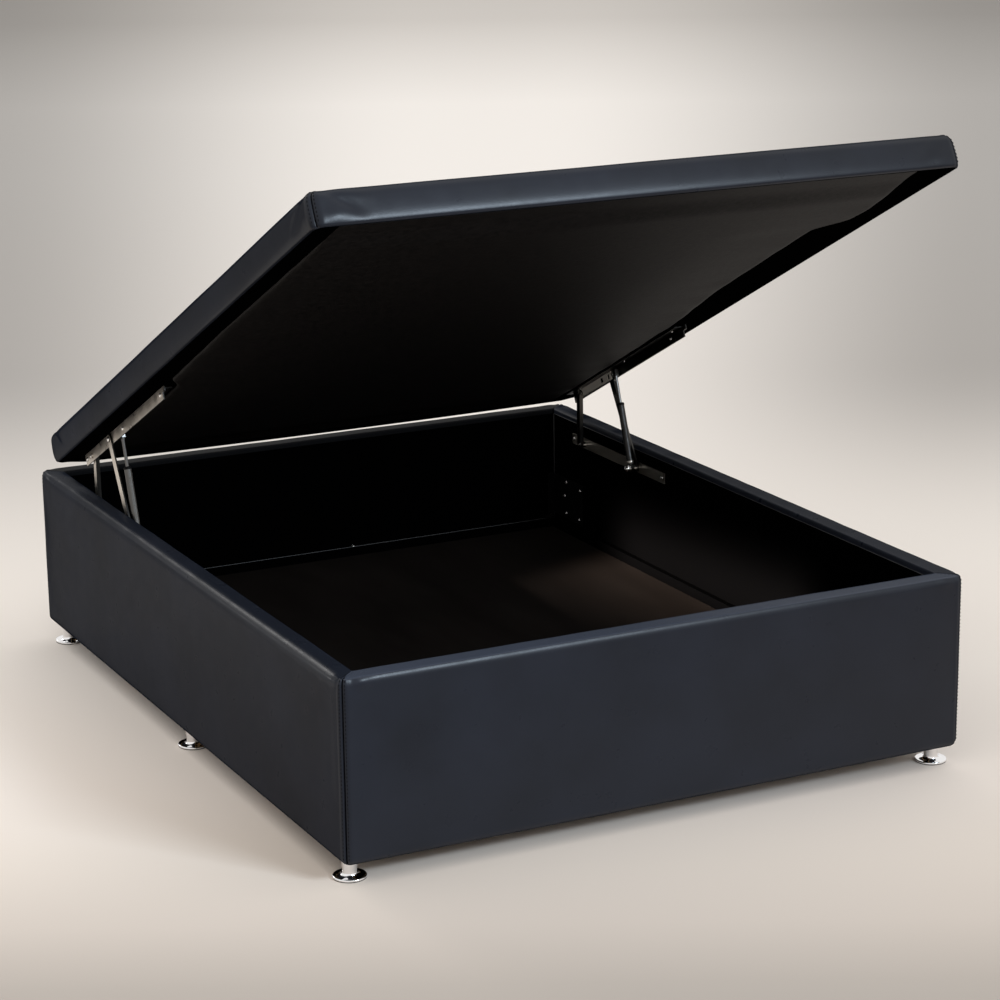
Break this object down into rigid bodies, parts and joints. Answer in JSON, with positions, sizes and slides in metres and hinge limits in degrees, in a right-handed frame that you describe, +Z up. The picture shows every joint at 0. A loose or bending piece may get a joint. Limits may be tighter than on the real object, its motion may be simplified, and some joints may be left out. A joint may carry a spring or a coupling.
{
  "type": "storage divan base",
  "caption": "Box-shaped upholstered divan base with a padded lid that rises on side lift linkages with gas struts, over an open lined storage space, on low glides.",
  "frame": {"origin": "on the floor, under the middle of the box", "axes": "+X to the right across the bed, seen from the foot end; +Y along the bed to the head end, where the lid is hinged; +Z up"},
  "size_m": [1.5, 1.9, 1.4047],
  "materials": {
    "leather": "dark blue grained upholstery leather, semi-matt",
    "lining": "black lining cloth",
    "timber": "plain softwood",
    "floor_board": "dark brown laminate, satin",
    "black_steel": "black, satin",
    "steel": "nickel-plated, warm grey",
    "chrome": "polished"
  },
  "bodies": {
    "box": {"left_wall_board": "timber", "left_cover": "leather", "left_lining": "lining", "right_wall_board": "timber", "right_cover": "leather", "right_lining": "lining", "foot_wall_board": "timber", "foot_cover": "leather", "foot_lining": "lining", "head_wall_board": "timber", "head_cover": "leather", "head_lining": "lining", "floor_board": "floor_board", "floor_bearer_1": "timber", "floor_bearer_2": "timber", "floor_bearer_3": "timber", "left_batten": "lining", "right_batten": "lining", "foot_batten": "lining", "head_batten": "lining", "corner_bracket_foot_left": "black_steel", "corner_bracket_foot_right": "black_steel", "corner_bracket_head_left": "black_steel", "corner_bracket_head_right": "black_steel", "glide_foot_end_left": "chrome", "glide_foot_end_right": "chrome", "glide_middle_left": "chrome", "glide_middle_right": "chrome", "glide_head_end_left": "chrome", "glide_head_end_right": "chrome", "base_plate_left": "steel", "rear_bolt_left": "chrome", "front_bolt_left": "chrome", "base_plate_right": "steel", "rear_bolt_right": "chrome", "front_bolt_right": "chrome"},
    "rear_link_left": {"rear_link_left": "steel"},
    "lid": {"lid_cover": "leather", "lid_deck": "timber", "lid_lining": "lining", "lid_frame_left": "timber", "lid_frame_right": "timber", "lid_frame_foot": "timber", "lid_frame_head": "timber", "lid_slat_1": "timber", "lid_slat_2": "timber", "lift_rail_left": "steel", "joint_plate_left": "steel", "lid_pivot_pin_left": "steel", "lift_rail_right": "steel", "joint_plate_right": "steel", "lid_pivot_pin_right": "steel"},
    "rear_link_right": {"rear_link_right": "steel"},
    "front_link_left": {"front_link_left": "steel"},
    "front_link_right": {"front_link_right": "steel"},
    "strut_cylinder_left": {"strut_cylinder_left": "steel"},
    "strut_cylinder_right": {"strut_cylinder_right": "steel"},
    "strut_rod_left": {"strut_rod_left": "steel"},
    "strut_rod_right": {"strut_rod_right": "steel"}
  },
  "joints": [
    {"name": "lid_lift", "type": "hinge", "parent": "box", "child": "rear_link_left", "pos_m": [-0.6822, 0.70664, 0.386], "axis": [-1, 0, 0], "range_deg": [0, 70.45], "stiffness_Nm_per_rad": 120, "springref_deg": -126.05},
    {"name": "lid_tilt", "type": "hinge", "parent": "rear_link_left", "child": "lid", "pos_m": [-0.6822, 0.70873, 0.52784], "axis": [1, 0, 0], "range_deg": [0, 96.95]},
    {"name": "rear_link_right_turn", "type": "hinge", "parent": "box", "child": "rear_link_right", "pos_m": [0.6822, 0.70664, 0.386], "axis": [-1, 0, 0], "range_deg": [0, 70.45]},
    {"name": "front_link_left_turn", "type": "hinge", "parent": "box", "child": "front_link_left", "pos_m": [-0.692, 0.42362, 0.386], "axis": [-1, 0, 0], "range_deg": [0, 47.43]},
    {"name": "strut_left_turn", "type": "hinge", "parent": "box", "child": "strut_cylinder_left", "pos_m": [-0.677, 0.42362, 0.386], "axis": [-1, 0, 0], "range_deg": [0, 57.15]},
    {"name": "strut_left_stroke", "type": "slide", "parent": "strut_cylinder_left", "child": "strut_rod_left", "axis": [0, -0.3377, -0.9412], "range_m": [0, 0.05533]},
    {"name": "front_link_right_turn", "type": "hinge", "parent": "box", "child": "front_link_right", "pos_m": [0.692, 0.42362, 0.386], "axis": [-1, 0, 0], "range_deg": [0, 47.43]},
    {"name": "strut_right_turn", "type": "hinge", "parent": "box", "child": "strut_cylinder_right", "pos_m": [0.677, 0.42362, 0.386], "axis": [-1, 0, 0], "range_deg": [0, 57.15]},
    {"name": "strut_right_stroke", "type": "slide", "parent": "strut_cylinder_right", "child": "strut_rod_right", "axis": [0, -0.3377, -0.9412], "range_m": [0, 0.05533]}
  ],
  "couplings": [
    {"joint": "lid_tilt", "follows": "lid_lift", "ratio": 1.3762},
    {"joint": "rear_link_right_turn", "follows": "lid_lift", "ratio": 1},
    {"joint": "front_link_left_turn", "follows": "lid_lift", "ratio": 0.67325},
    {"joint": "strut_left_turn", "follows": "lid_lift", "ratio": 0.81127},
    {"joint": "strut_left_stroke", "follows": "lid_lift", "m_per_rad": 0.044995},
    {"joint": "front_link_right_turn", "follows": "lid_lift", "ratio": 0.67325},
    {"joint": "strut_right_turn", "follows": "lid_lift", "ratio": 0.81127},
    {"joint": "strut_right_stroke", "follows": "lid_lift", "m_per_rad": 0.044995}
  ]
}
